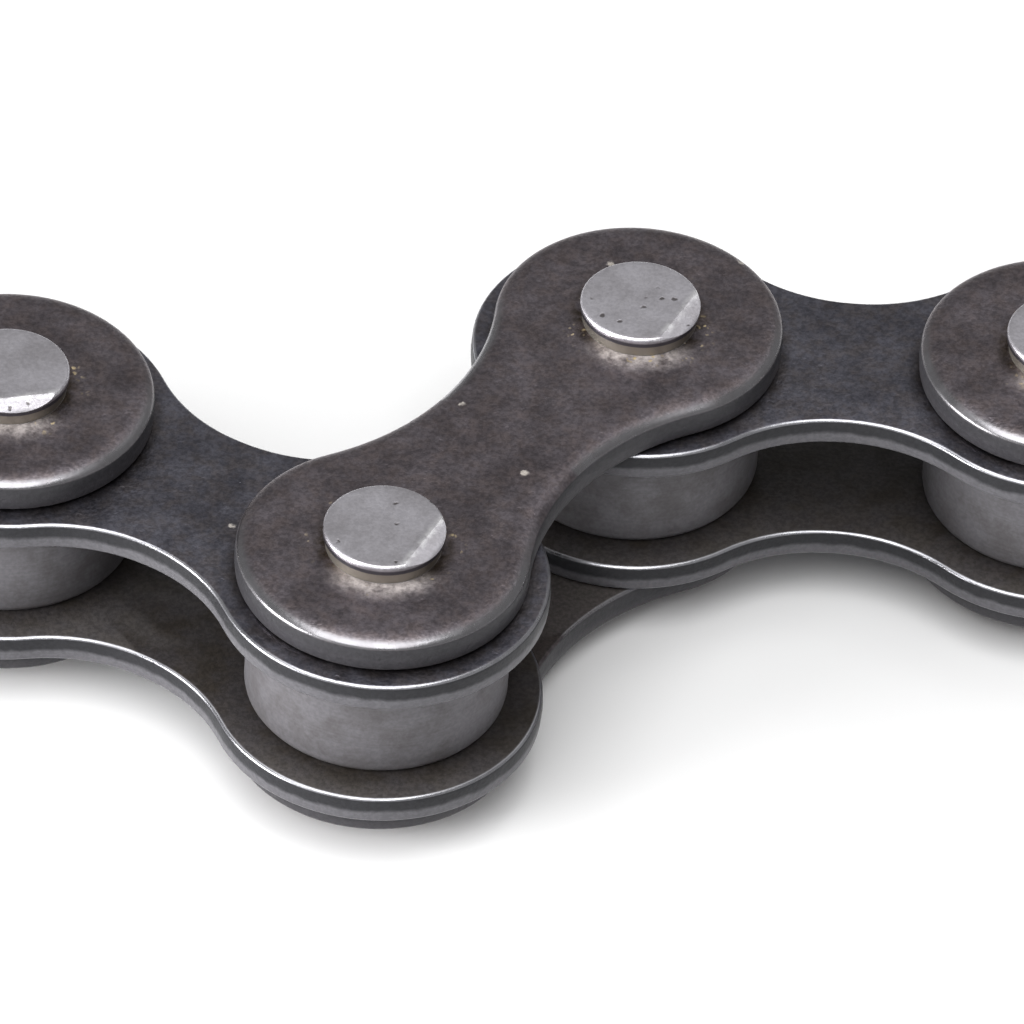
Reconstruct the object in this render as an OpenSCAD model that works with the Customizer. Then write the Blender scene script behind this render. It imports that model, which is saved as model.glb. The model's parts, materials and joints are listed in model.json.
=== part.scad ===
// Section of a bicycle roller chain, lying flat with its pins upright.
// Inner links carry bushes and rollers, and outer links carry riveted pins that turn in the bushes.
// Links are numbered from the left. Lengths are in millimetres, and z = 0 is the chain's mid-plane.

/* [Chain] */
// Distance from one pin axis to the next
pitch = 12.7; // [12:0.1:14]
// Clear width between the two plates of an inner link
inner_width = 3.6; // [2.8:0.1:5]
// Gap between an inner plate and the outer plate that runs over it
side_clearance = 0.06; // [0.04:0.01:0.3]

/* [Inner plates] */
// Thickness of an inner plate
inner_plate_t = 0.9; // [0.8:0.05:1.6]
// Radius of the round ends of an inner plate
inner_end_r = 4.92; // [4.5:0.02:5.4]
// Half the width of an inner plate at its waist
inner_waist = 2.68; // [2:0.02:3.4]
// Radius of the stamped edges of an inner plate
inner_edge_r = 0.14; // [0.06:0.02:0.3]

/* [Outer plates] */
// Thickness of an outer plate
outer_plate_t = 1.05; // [0.8:0.05:1.6]
// Radius of the round ends of an outer plate
outer_end_r = 4.3; // [3.9:0.02:4.8]
// Half the width of an outer plate at its waist
outer_waist = 2.55; // [2:0.05:3.2]
// Radius of the tumbled edges of an outer plate
outer_edge_r = 0.34; // [0.1:0.02:0.4]

/* [Pins] */
// Diameter of a pin
pin_d = 3.4; // [3:0.05:4]
// Height of a pin's end above the outer plate
pin_stand = 0.7; // [0.5:0.05:1.2]
// Thickness of the riveted head at a pin's end
rivet_t = 0.36; // [0.3:0.02:0.46]
// How far the riveted head spreads beyond the pin
rivet_spread = 0.09; // [0.02:0.01:0.2]
// Radius of the worn rim of the riveted head
rivet_edge_r = 0.14; // [0.06:0.02:0.26]

/* [Bushes] */
// Running clearance between a pin and its bush, on the radius
pin_clearance = 0.03; // [0.02:0.01:0.08]
// Wall thickness of a bush
bush_wall = 0.77; // [0.5:0.01:0.85]
// Chamfer at each mouth of a bush
bush_chamfer = 0.15; // [0.05:0.05:0.3]

/* [Rollers] */
// Diameter of a roller
roller_d = 7.75; // [7.2:0.05:8.4]
// Running clearance between a bush and its roller, on the radius
roller_clearance = 0.05; // [0.03:0.01:0.1]
// Gap between a roller and the inner plate at each of its ends
roller_end_gap = 0.06; // [0.04:0.01:0.2]
// Radius of the rounded rims of a roller
roller_edge_r = 0.24; // [0.1:0.02:0.4]

/* [Pose] */
// Direction of the left end link, in degrees from +X
first_angle = -8; // [-30:0.5:30]
// Bend at the first pivot from the left, in degrees
bend_angle_1 = 14; // [-70:0.5:70]
// Bend at the second pivot
bend_angle_2 = -33.5; // [-70:0.5:70]
// Bend at the third pivot, the sharpest fold
bend_angle_3 = 83; // [-70:0.5:90]
// Bend at the fourth pivot
bend_angle_4 = -57; // [-70:0.5:70]
// Bend at the fifth pivot
bend_angle_5 = 11.5; // [-70:0.5:70]
// Bend at the sixth pivot
bend_angle_6 = -16; // [-70:0.5:70]

/* [Hidden] */
$fn = 96;
INNER_LINKS = [1, 3, 5, 7];
OUTER_LINKS = [2, 4, 6];
SIDES = ["upper", "lower"];
ENDS = ["left", "right"];

// Heights above the mid-plane, from the rollers outwards
inner_face = inner_width / 2;
bush_face = inner_face + inner_plate_t;
outer_face = bush_face + side_clearance;
pin_face = outer_face + outer_plate_t + pin_stand;

// Radii around a pin's axis, from the pin outwards
pin_r = pin_d / 2;
bush_bore_r = pin_r + pin_clearance;
bush_r = bush_bore_r + bush_wall;
roller_bore_r = bush_r + roller_clearance;
roller_r = roller_d / 2;

// Room that a cutting tool runs past a face
past = 1;
// Depth that a waist arc is cut below the round ends where it meets them
waist_bite = 0.01;

// Colours of the worn steel
OUTER_STEEL = [0.31, 0.29, 0.28];
INNER_STEEL = [0.27, 0.28, 0.31];
PIN_STEEL = [0.68, 0.67, 0.68];
BUSH_STEEL = [0.50, 0.49, 0.48];
ROLLER_STEEL = [0.52, 0.52, 0.54];

// Direction of each link, and the pivot at its left end
BENDS = [bend_angle_1, bend_angle_2, bend_angle_3, bend_angle_4, bend_angle_5, bend_angle_6];
function link_dir(link) = link == 1 ? first_angle : link_dir(link - 1) + BENDS[link - 2];
function left_pivot(link) = link == 1 ? [0, 0, 0] : left_pivot(link - 1) + pitch * heading(link_dir(link - 1));
function heading(dir) = [cos(dir), sin(dir), 0];

// Radius of the waist arc that meets both round ends of a plate without a crease
function waist_r(end_r, waist) = (pow(pitch / 2, 2) + pow(waist, 2) - pow(end_r, 2)) / (2 * (end_r - waist));

// Half section of a disc of height h whose two rims are rounded
module rounded_profile(r, h, edge_r) {
  square([r - edge_r, h]);
  translate([0, edge_r]) square([r, h - 2 * edge_r]);
  for (z = [edge_r, h - edge_r]) translate([r - edge_r, z]) circle(edge_r);
}

// Half section of a round cutter that flares at both faces of a plate, to leave the plate's edges rounded
module flared_profile(r, h, edge_r) {
  difference() {
    translate([0, -past]) square([r + edge_r, h + 2 * past]);
    translate([r, edge_r]) square([2 * edge_r, h - 2 * edge_r]);
    for (z = [edge_r, h - edge_r]) translate([r + edge_r, z]) circle(edge_r);
  }
}

// Figure-eight link plate from z = 0 up, with its round ends on the link's two pivots
// The waist lies between the lines from the pivots to the centres of its arcs, where arcs and ends touch
module link_plate(end_r, waist, t, edge_r, hole_r) {
  arc_r = waist_r(end_r, waist);
  arc_y = waist + arc_r;
  difference() {
    union() {
      for (x = [0, pitch]) translate([x, 0, 0])
        rotate_extrude() rounded_profile(end_r, t, edge_r);
      difference() {
        linear_extrude(t) polygon([[0, 0], [pitch / 2, -arc_y], [pitch, 0], [pitch / 2, arc_y]]);
        for (y = [-arc_y, arc_y]) translate([pitch / 2, y, 0])
          rotate_extrude() flared_profile(arc_r + waist_bite, t, edge_r);
      }
    }
    for (x = [0, pitch]) translate([x, 0, -past]) cylinder(r = hole_r, h = t + 2 * past);
  }
}

// Lifts a plate that stands on z = 0 to its face above the mid-plane, or to the same face below it
module on_side(side, face) {
  mirror([0, 0, side == "lower" ? 1 : 0]) translate([0, 0, face]) children();
}

// Moves a round piece to the left or right pivot of its link
module on_end(end) {
  translate([end == "right" ? pitch : 0, 0, 0]) children();
}

// Turns and moves a link from the x axis to its place in the chain
module on_link(link) {
  translate(left_pivot(link)) rotate(link_dir(link)) children();
}

// Plate that is pressed on the two bushes
module inner_plate(side) {
  color(INNER_STEEL) on_side(side, inner_face)
    link_plate(inner_end_r, inner_waist, inner_plate_t, inner_edge_r, bush_r);
}

// Plate that is pressed on the two pins
module outer_plate(side) {
  color(OUTER_STEEL) on_side(side, outer_face)
    link_plate(outer_end_r, outer_waist, outer_plate_t, outer_edge_r, pin_r);
}

// Tube that the pin turns in, with a chamfer at each mouth of its bore
module bush(end) {
  mouth_r = bush_bore_r + bush_chamfer;
  mouth_z = bush_face - bush_chamfer;
  color(BUSH_STEEL) on_end(end) rotate_extrude() polygon([
    [bush_bore_r, -mouth_z], [mouth_r, -bush_face], [bush_r, -bush_face],
    [bush_r, bush_face], [mouth_r, bush_face], [bush_bore_r, mouth_z]
  ]);
}

// Ring that turns on the bush and rolls into the sprocket
module roller(end) {
  length = inner_width - 2 * roller_end_gap;
  color(ROLLER_STEEL) on_end(end) translate([0, 0, -length / 2]) rotate_extrude() difference() {
    rounded_profile(roller_r, length, roller_edge_r);
    translate([0, -past]) square([roller_bore_r, length + 2 * past]);
  }
}

// Pin with a spread head riveted at each end, clear of the plate
module pin(end) {
  head_r = pin_r + rivet_spread;
  color(PIN_STEEL) on_end(end) rotate_extrude() {
    translate([0, -pin_face + rivet_t / 2]) square([pin_r, 2 * pin_face - rivet_t]);
    for (turn = [0, 1]) mirror([0, turn]) translate([0, pin_face - rivet_t]) {
      square([head_r, rivet_t - rivet_edge_r]);
      square([head_r - rivet_edge_r, rivet_t]);
      translate([head_r - rivet_edge_r, rivet_t - rivet_edge_r]) circle(rivet_edge_r);
    }
  }
}

for (link = INNER_LINKS) on_link(link) {
  for (side = SIDES)
    inner_plate(side);
  for (end = ENDS) {
    bush(end);
    roller(end);
  }
}
for (link = OUTER_LINKS) on_link(link) {
  for (side = SIDES)
    outer_plate(side);
  for (end = ENDS)
    pin(end);
}
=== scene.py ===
"""Worn, oiled length of bicycle chain: waisted plates, riveted pins, bushes and rollers on the frame."""
import json
import logging
import math
from dataclasses import dataclass
from enum import Enum
from functools import lru_cache
from typing import Callable, Dict, Optional, Sequence, Tuple

import bmesh
import bpy
from mathutils import Matrix, Vector


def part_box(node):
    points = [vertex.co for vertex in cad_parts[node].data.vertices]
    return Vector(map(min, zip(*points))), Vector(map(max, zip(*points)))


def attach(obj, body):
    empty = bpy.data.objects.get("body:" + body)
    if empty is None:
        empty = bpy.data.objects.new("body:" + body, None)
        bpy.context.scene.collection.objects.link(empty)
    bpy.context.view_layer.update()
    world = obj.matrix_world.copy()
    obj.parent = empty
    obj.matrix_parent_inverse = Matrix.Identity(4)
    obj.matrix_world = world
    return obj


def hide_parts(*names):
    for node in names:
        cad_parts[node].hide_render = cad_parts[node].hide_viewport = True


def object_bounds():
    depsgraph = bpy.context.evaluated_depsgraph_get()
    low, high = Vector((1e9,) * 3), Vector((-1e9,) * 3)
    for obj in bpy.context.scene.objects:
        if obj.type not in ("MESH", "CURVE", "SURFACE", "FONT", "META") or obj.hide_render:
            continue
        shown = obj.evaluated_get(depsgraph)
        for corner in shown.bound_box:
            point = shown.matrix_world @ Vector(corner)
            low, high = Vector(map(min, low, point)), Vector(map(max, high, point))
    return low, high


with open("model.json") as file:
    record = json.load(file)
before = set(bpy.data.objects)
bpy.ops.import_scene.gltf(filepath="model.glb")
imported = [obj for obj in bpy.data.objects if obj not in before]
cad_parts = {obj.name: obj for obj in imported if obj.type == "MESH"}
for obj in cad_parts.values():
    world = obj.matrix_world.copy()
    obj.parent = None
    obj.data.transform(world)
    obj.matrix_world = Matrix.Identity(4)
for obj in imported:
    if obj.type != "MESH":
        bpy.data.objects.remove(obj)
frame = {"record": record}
CAD_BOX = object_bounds()

LOG = logging.getLogger("chain")
MM = 0.001
# Points nearer than this are merged, in millimetres
WELD_MM = 0.002
# Room in tests of a place, in millimetres
SLACK_MM = 0.01
# Height of the torn band in a plate's stamped wall, as a share of its thickness
TORN_SHARE = 0.48
WHITE = (1.0, 1.0, 1.0)

Colour = Tuple[float, float, float]
# Limits of a smooth step, with the values at them where they aren't 0 and 1
Step = Tuple[float, ...]
# Scale of a noise in features per millimetre, its detail and its roughness
Noise = Tuple[float, ...]
Edge = bmesh.types.BMEdge
Face = bmesh.types.BMFace
Vertex = bpy.types.MeshVertex
Piece = bpy.types.Object
Material = bpy.types.Material
NodeTree = bpy.types.NodeTree
Node = bpy.types.Node
Socket = bpy.types.NodeSocket


class End(Enum):
    """Ends of a link, with the sign of their place along it."""

    LEFT = -1
    RIGHT = 1


class Side(Enum):
    """Upper and lower side of the chain, with the turn from the upper side to it."""

    UPPER = 0.0
    LOWER = math.pi


class Slot(Enum):
    """Material slots of the record."""

    OUTER_PLATE = "outer_plate_steel"
    INNER_PLATE = "inner_plate_steel"
    PIN = "pin_steel"
    BUSH = "bush_steel"
    ROLLER = "roller_steel"


class Bench:
    """Edit-mode moves that every piece is modelled with, in millimetres."""

    @staticmethod
    def clear() -> None:
        """Leaves edit mode and deselects every object."""
        if bpy.context.mode != "OBJECT":
            bpy.ops.object.mode_set(mode="OBJECT")
        bpy.ops.object.select_all(action="DESELECT")

    @staticmethod
    def take(piece: Piece) -> None:
        """Makes one object the only one selected, and active.

        Args:
            piece: object to take.
        """
        Bench.clear()
        piece.select_set(True)
        bpy.context.view_layer.objects.active = piece

    @staticmethod
    def edit(piece: Piece) -> None:
        """Opens one object for editing with nothing selected in it.

        Args:
            piece: object to open.
        """
        Bench.take(piece)
        bpy.ops.object.mode_set(mode="EDIT")
        bpy.ops.mesh.select_mode(type="VERT")
        bpy.ops.mesh.select_all(action="DESELECT")

    @staticmethod
    def begin(name: str) -> Piece:
        """Names the primitive that was just added and opens it for editing.

        Args:
            name: name of the object.

        Returns:
            The primitive's object.
        """
        piece = bpy.context.view_layer.objects.active
        piece.name = name
        Bench.edit(piece)
        return piece

    @staticmethod
    def done() -> None:
        """Closes edit mode."""
        bpy.ops.object.mode_set(mode="OBJECT")

    @staticmethod
    def _pick(piece: Piece, kind: str, wanted: Callable[[object], bool]) -> None:
        """Selects only the faces or edges that a test wants.

        Args:
            piece: object in edit mode.
            kind: Blender's word for what is selected.
            wanted: test of one face or edge.
        """
        bpy.ops.mesh.select_mode(type=kind)
        bpy.ops.mesh.select_all(action="DESELECT")
        mesh = bmesh.from_edit_mesh(piece.data)
        for part in {"FACE": mesh.faces, "EDGE": mesh.edges}[kind]:
            if wanted(part):
                part.select_set(True)
        bmesh.update_edit_mesh(piece.data)

    @staticmethod
    def pick_faces(piece: Piece, wanted: Callable[[Face], bool]) -> None:
        """Selects only the faces that a test wants."""
        Bench._pick(piece, "FACE", wanted)

    @staticmethod
    def pick_edges(piece: Piece, wanted: Callable[[Edge], bool]) -> None:
        """Selects only the edges that a test wants."""
        Bench._pick(piece, "EDGE", wanted)

    @staticmethod
    def level(edge: Edge, slack: float = SLACK_MM) -> bool:
        """Tells whether an edge lies level."""
        return abs(edge.verts[0].co.z - edge.verts[1].co.z) < slack

    @staticmethod
    def raise_by(height: float) -> None:
        """Extrudes the selection straight up."""
        bpy.ops.mesh.extrude_region_move(TRANSFORM_OT_translate={"value": (0, 0, height)})

    @staticmethod
    def spread_by(factor: float) -> None:
        """Scales the selection about the upright axis through the origin."""
        bpy.ops.transform.resize(value=(factor, factor, 1), center_override=(0, 0, 0))

    @staticmethod
    def round_edges(width: float, segments: int) -> None:
        """Bevels the selected edges to a round of a given width."""
        bpy.ops.mesh.bevel(offset=width, segments=segments, profile=0.5, affect="EDGES", clamp_overlap=True)

    @staticmethod
    def level_cut(height: float) -> None:
        """Cuts an edge loop round the whole mesh at one height."""
        bpy.ops.mesh.select_all(action="SELECT")
        bpy.ops.mesh.bisect(plane_co=(0, 0, height), plane_no=(0, 0, 1), use_fill=False)

    @staticmethod
    def weld(face_out: bool = True) -> None:
        """Merges doubles over the whole mesh and turns its faces outwards.

        Args:
            face_out: whether the faces are turned, once there are any.
        """
        bpy.ops.mesh.select_all(action="SELECT")
        bpy.ops.mesh.remove_doubles(threshold=WELD_MM)
        if face_out:
            bpy.ops.mesh.normals_make_consistent(inside=False)

    @staticmethod
    def shade(angle: float) -> None:
        """Shades the active object smooth, except where faces meet at more than an angle in degrees."""
        bpy.ops.object.shade_smooth_by_angle(angle=math.radians(angle))

    @staticmethod
    def mirror(piece: Piece, axis: Tuple[bool, bool, bool]) -> None:
        """Mirrors an object and joins the two halves.

        Args:
            piece: object in edit mode.
            axis: axes that it is mirrored along.
        """
        Bench.take(piece)
        modifier = piece.modifiers.new("Mirror", "MIRROR")
        modifier.use_axis = axis
        modifier.merge_threshold = WELD_MM
        bpy.ops.object.modifier_apply(modifier=modifier.name)
        Bench.edit(piece)

    @staticmethod
    def copy(model: Piece, name: str, place: Matrix) -> Piece:
        """Copies a model with its own mesh and settles it in its place.

        Args:
            model: finished model in millimetres.
            name: name of the copy.
            place: where it goes, from millimetres to metres.

        Returns:
            Copy with its place in its mesh.
        """
        Bench.take(model)
        bpy.ops.object.duplicate(linked=False)
        piece = bpy.context.view_layer.objects.active
        piece.name = name
        piece.data.name = name
        piece.matrix_world = place
        bpy.ops.object.transform_apply(location=True, rotation=True, scale=True)
        return piece

    @staticmethod
    def measure(piece: Piece, name: str, rule: Callable[[Vertex], float]) -> None:
        """Stores a number at every vertex for a finish to read.

        Args:
            piece: object in object mode.
            name: name of the attribute.
            rule: number for a vertex.
        """
        layer = piece.data.attributes.new(name=name, type="FLOAT", domain="POINT")
        layer.data.foreach_set("value", [rule(vertex) for vertex in piece.data.vertices])

    @staticmethod
    def bin(piece: Piece) -> None:
        """Removes a model that has been copied."""
        Bench.clear()
        bpy.data.objects.remove(piece, do_unlink=True)


class Sketch:
    """Short way to lay out shader nodes."""

    # Sockets of a Mix node that carry its amount, its two colours and the mixed one
    MIX_AMOUNT = 0
    MIX_FIRST = 6
    MIX_SECOND = 7
    MIX_RESULT = 2

    def __init__(self, tree: NodeTree) -> None:
        """Keeps the tree that nodes are added to."""
        self.tree = tree

    def feed(self, node: Node, inputs: Dict[object, object]) -> None:
        """Sets inputs of a node, or links them where a socket is given.

        Args:
            node: node of the tree.
            inputs: values or sockets by input name or number.
        """
        for key, value in inputs.items():
            if isinstance(value, Socket):
                self.tree.links.new(value, node.inputs[key])
            else:
                node.inputs[key].default_value = value

    def node(self, kind: str, inputs: Optional[Dict[object, object]] = None, **settings: object) -> Node:
        """Adds a node, sets it and links its inputs.

        Args:
            kind: node type without the ShaderNode prefix.
            inputs: values or sockets by input name or number.
            settings: properties of the node.

        Returns:
            The new node.
        """
        made = self.tree.nodes.new("ShaderNode" + kind)
        for key, value in settings.items():
            setattr(made, key, value)
        self.feed(made, inputs or {})
        return made

    def noise(self, where: Socket, scale: object, detail: float = 4.0, rough: float = 0.55) -> Socket:
        """Noise value from 0 to 1, with scale in features per millimetre."""
        inputs = {"Vector": where, "Scale": scale, "Detail": detail, "Roughness": rough}
        return self.node("TexNoise", inputs).outputs[0]

    def ramp(self, value: Socket, low: object, high: object, to_low: float = 0.0,
             to_high: float = 1.0) -> Socket:
        """Smooth step of a value between two limits, to a new range."""
        inputs = {"Value": value, "From Min": low, "From Max": high, "To Min": to_low, "To Max": to_high}
        return self.node("MapRange", inputs, interpolation_type="SMOOTHSTEP").outputs[0]

    def math(self, operation: str, first: object, second: object = 0.0) -> Socket:
        """Sum, maximum or other operation on two values."""
        return self.node("Math", {0: first, 1: second}, operation=operation).outputs[0]

    def times(self, first: object, second: object) -> Socket:
        """Product of two values."""
        return self.math("MULTIPLY", first, second)

    def shift(self, operation: str, first: Socket, second: object) -> Socket:
        """Sum or product of two vectors."""
        return self.node("VectorMath", {0: first, 1: second}, operation=operation).outputs[0]

    def blend(self, amount: object, first: object, second: object) -> Socket:
        """Mixes two colours.

        Args:
            amount: share of the second colour.
            first: colour or socket.
            second: colour or socket.

        Returns:
            The mixed colour.
        """
        colours = [value if isinstance(value, Socket) else (*value, 1.0) for value in (first, second)]
        inputs = {self.MIX_AMOUNT: amount, self.MIX_FIRST: colours[0], self.MIX_SECOND: colours[1]}
        return self.node("Mix", inputs, data_type="RGBA").outputs[self.MIX_RESULT]

    def tint(self, colour: Socket, by: Socket) -> Socket:
        """Multiplies a colour by a grey value."""
        inputs = {self.MIX_AMOUNT: 1.0, self.MIX_FIRST: colour, self.MIX_SECOND: by}
        return self.node("Mix", inputs, data_type="RGBA", blend_type="MULTIPLY").outputs[self.MIX_RESULT]


class EffectGroups:
    """Shader node groups that several finishes share, each built once."""

    PATCH_ROUGH = (7.0, 0.62)
    PATCH_STEP = (0.3, 0.72)
    GRAIN_ROUGH = (3.0, 0.6)
    GRAIN_STEP = (0.25, 0.75)
    WARMTH_SHIFT = (31.0, 17.0, 5.0)
    WARMTH_NOISE = (2.0, 4.0, 0.65)
    WARMTH_STEP = (0.38, 0.68)
    SPECK_WARP_NOISE = {"Scale": 4.0, "Detail": 2.0}
    SPECK_WARP = (0.25, 0.25, 0.25)
    SPECK_CORE = 0.5
    WEAR_RISE = (0.01, 0.12)
    WEAR_FADE = (0.7, 0.4)
    WEAR_NOISE = (1.6, 6.0, 0.65)
    WEAR_BREAKS = (0.35, 0.62)

    @staticmethod
    def _start(name: str, values: Dict[str, float]) -> Tuple[Sketch, bpy.types.NodeOutputs]:
        """Opens a new group with a place and some numbers as inputs.

        Args:
            name: name of the group.
            values: inputs and their usual values.

        Returns:
            A sketch of the group and the sockets of its inputs.
        """
        tree = bpy.data.node_groups.new(name, "ShaderNodeTree")
        tree.interface.new_socket("Place", in_out="INPUT", socket_type="NodeSocketVector")
        for key, value in values.items():
            socket = tree.interface.new_socket(key, in_out="INPUT", socket_type="NodeSocketFloat")
            socket.default_value = value
        return Sketch(tree), tree.nodes.new("NodeGroupInput").outputs

    @staticmethod
    def _close(sketch: Sketch, outputs: Dict[str, Socket]) -> NodeTree:
        """Gives a group its outputs.

        Args:
            sketch: sketch of the group.
            outputs: sockets by output name.

        Returns:
            The finished group.
        """
        for key in outputs:
            sketch.tree.interface.new_socket(key, in_out="OUTPUT", socket_type="NodeSocketFloat")
        sketch.feed(sketch.tree.nodes.new("NodeGroupOutput"), outputs)
        return sketch.tree

    @classmethod
    @lru_cache(maxsize=None)
    def mottle(cls) -> NodeTree:
        """Patches of oil and tarnish over fine grains.

        Returns:
            Group with outputs Patches, Grain and Warmth, each from 0 to 1.
        """
        sketch, given = cls._start("Mottle", {"Patch Scale": 0.6, "Grain Scale": 7.0})
        patches = sketch.noise(given["Place"], given["Patch Scale"], *cls.PATCH_ROUGH)
        grain = sketch.noise(given["Place"], given["Grain Scale"], *cls.GRAIN_ROUGH)
        warmth = sketch.noise(sketch.shift("ADD", given["Place"], cls.WARMTH_SHIFT), *cls.WARMTH_NOISE)
        return cls._close(sketch, {"Patches": sketch.ramp(patches, *cls.PATCH_STEP),
                                   "Grain": sketch.ramp(grain, *cls.GRAIN_STEP),
                                   "Warmth": sketch.ramp(warmth, *cls.WARMTH_STEP)})

    @classmethod
    @lru_cache(maxsize=None)
    def specks(cls) -> NodeTree:
        """Scattered specks, such as pits, grit and flecks of metal.

        Returns:
            Group with the output Specks, from 0 to 1.
        """
        sketch, given = cls._start("Specks", {"Scale": 3.0, "Size": 0.2, "Share": 0.3})
        warp = sketch.node("TexNoise", {"Vector": given["Place"], **cls.SPECK_WARP_NOISE}).outputs["Color"]
        bent = sketch.shift("ADD", given["Place"], sketch.shift("MULTIPLY", warp, cls.SPECK_WARP))
        spread = {"Vector": bent, "Scale": given["Scale"], "Randomness": 1.0}
        cells = sketch.node("TexVoronoi", spread).outputs
        core = sketch.times(given["Size"], cls.SPECK_CORE)
        spot = sketch.ramp(cells["Distance"], given["Size"], core)
        chance = sketch.node("SeparateColor", {0: cells["Color"]}).outputs[0]
        kept = sketch.math("LESS_THAN", chance, given["Share"])
        return cls._close(sketch, {"Specks": sketch.times(spot, kept)})

    @classmethod
    @lru_cache(maxsize=None)
    def edge_wear(cls) -> NodeTree:
        """Bright wear on the upper part of a rounded edge, broken up along it.

        Returns:
            Group with the output Wear, from 0 to 1.
        """
        sketch, given = cls._start("Edge wear", {"Steepness": 0.0, "Break-up": 0.5})
        rise = sketch.ramp(given["Steepness"], *cls.WEAR_RISE)
        fade = sketch.times(rise, sketch.ramp(given["Steepness"], *cls.WEAR_FADE))
        broken = sketch.ramp(sketch.noise(given["Place"], *cls.WEAR_NOISE), *cls.WEAR_BREAKS)
        whole = sketch.math("SUBTRACT", 1.0, given["Break-up"])
        left = sketch.math("ADD", whole, sketch.times(broken, given["Break-up"]))
        return cls._close(sketch, {"Wear": sketch.times(fade, left)})


class FinishBoard(Sketch):
    """Material under construction: coordinates in millimetres, shared effects and one Principled shader."""

    SPECULAR = 0.2

    def __init__(self, name: str, metallic: float) -> None:
        """Opens an empty material with its shader and output.

        Args:
            name: name of the material.
            metallic: how metallic the whole surface is.
        """
        self.material = bpy.data.materials.new(name)
        self.material.use_nodes = True
        super().__init__(self.material.node_tree)
        self.tree.nodes.clear()
        self.shader = self.node("BsdfPrincipled", {"Metallic": metallic, "Specular IOR Level": self.SPECULAR})
        self.node("OutputMaterial", {"Surface": self.shader.outputs[0]})
        coords = self.node("TexCoord").outputs["Object"]
        self.place = self.node("Mapping", {"Vector": coords, "Scale": (1 / MM, 1 / MM, 1 / MM)}).outputs[0]

    def effect(self, group: NodeTree, inputs: Dict[str, object]) -> bpy.types.NodeOutputs:
        """Places a shared effect with its own values.

        Args:
            group: the effect.
            inputs: values or sockets by name.

        Returns:
            The effect's outputs.
        """
        made = self.node("Group", node_tree=group)
        self.feed(made, {"Place": self.place, **inputs})
        return made.outputs

    def mottle(self, patch_scale: float, grain_scale: float) -> Tuple[Socket, Socket, Socket]:
        """Patches, grain and warmth of the surface, with scales in features per millimetre."""
        made = self.effect(EffectGroups.mottle(), {"Patch Scale": patch_scale, "Grain Scale": grain_scale})
        return made["Patches"], made["Grain"], made["Warmth"]

    def stored(self, name: str) -> Socket:
        """Number that the piece stores at its vertices."""
        return self.node("Attribute", attribute_name=name).outputs["Fac"]

    def bare(self, covers: Sequence[Socket]) -> None:
        """Makes the surface metallic only where no cover such as dirt lies on it.

        Args:
            covers: masks of what hides the metal, from 0 to 1.
        """
        hidden = covers[0]
        for cover in covers[1:]:
            hidden = self.math("MAXIMUM", hidden, cover)
        self.feed(self.shader, {"Metallic": self.math("SUBTRACT", 1.0, hidden)})

    def finish(self, colour: Socket, roughness: Socket, height: Socket, depth_mm: float) -> Material:
        """Wires the shader and ends the material.

        Args:
            colour: base colour.
            roughness: how matt the surface is.
            height: bump height from 0 to 1.
            depth_mm: depth of the bump.

        Returns:
            The finished material.
        """
        bump = self.node("Bump", {"Strength": 1.0, "Distance": depth_mm * MM, "Height": height}).outputs[0]
        self.feed(self.shader, {"Base Color": colour, "Roughness": roughness, "Normal": bump})
        return self.material


@dataclass(frozen=True)
class Scatter:
    """Scattered specks: cells per millimetre, size of a speck in its cell, and share of cells with one."""

    scale: float
    size: float
    share: float

    def mask(self, board: FinishBoard) -> Socket:
        """Where the specks lie on a surface, from 0 to 1."""
        values = {"Scale": self.scale, "Size": self.size, "Share": self.share}
        return board.effect(EffectGroups.specks(), values)["Specks"]


@dataclass(frozen=True)
class WallTone:
    """Stamped wall of a plate: a burnished band, and a torn band below it, in dark tones that partly paint
    the shade on the plate's sides.
    """

    # dark band tones, partly painted shade on the plate's sides
    burnished: Colour
    torn: Colour
    torn_blur: float = 0.1
    wander: Step = (0.0, 1.0, -0.04, 0.04)
    grain_tone: Step = (0.0, 1.0, 0.88, 1.12)
    dullness: float = 0.8

    def tone(self, board: FinishBoard, patches: Socket, grain: Socket) -> Socket:
        """Lays out the wall's two bands.

        Args:
            board: material under construction.
            patches: patches of the surface.
            grain: grain of the surface.

        Returns:
            Colour of the wall.
        """
        level = board.math("ADD", board.stored("wall_height"), board.ramp(patches, *self.wander))
        torn = board.ramp(level, TORN_SHARE + self.torn_blur, TORN_SHARE - self.torn_blur)
        return board.tint(board.blend(torn, self.burnished, self.torn), board.ramp(grain, *self.grain_tone))


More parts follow.
